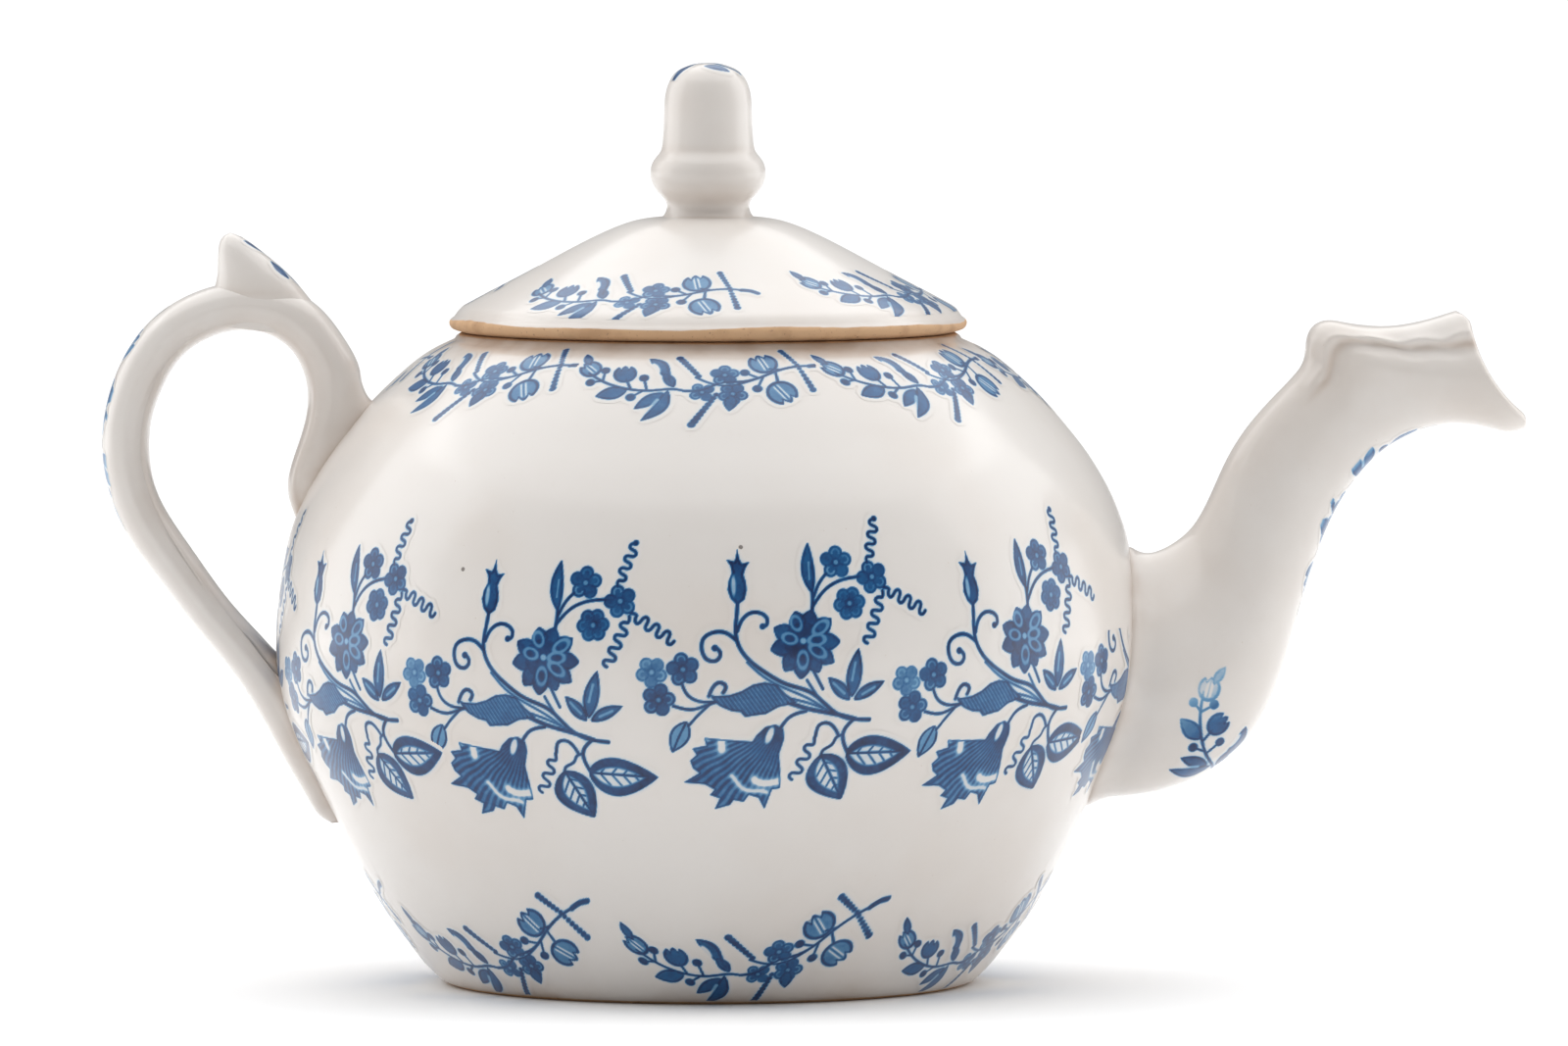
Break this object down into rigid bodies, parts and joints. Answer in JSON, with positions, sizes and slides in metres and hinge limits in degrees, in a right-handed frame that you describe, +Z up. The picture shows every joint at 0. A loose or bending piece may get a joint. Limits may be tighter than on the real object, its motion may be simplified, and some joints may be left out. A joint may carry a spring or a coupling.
{
  "type": "teapot",
  "caption": "Round-bodied glazed teapot with an S-curved spout, strap handle with thumb rest, and a loose domed lid with an acorn knob.",
  "frame": {"origin": "centre of the foot's standing face, on the round body's own axis", "axes": "+Z up along the body's axis, +X towards the spout, -X towards the handle, +Y across the pot"},
  "size_m": [0.2474, 0.1496, 0.1594],
  "materials": {
    "white_glaze": "glossy warm off-white glaze with cobalt blue printed flowers under it",
    "bare_clay": "bare fired clay, tan, slightly speckled"
  },
  "bodies": {
    "pot": {"pot_body": "white_glaze", "foot_ring": "bare_clay", "strainer": "white_glaze", "spout": "white_glaze", "handle": "white_glaze", "thumb_rest": "white_glaze"},
    "lid": {"lid": "white_glaze", "lid_flange": "bare_clay", "lid_knob": "white_glaze"}
  },
  "joints": [
    {"name": "lid_lift", "type": "slide", "parent": "pot", "child": "lid", "axis": [0, 0, 1], "range_m": [0, 0.07]}
  ]
}
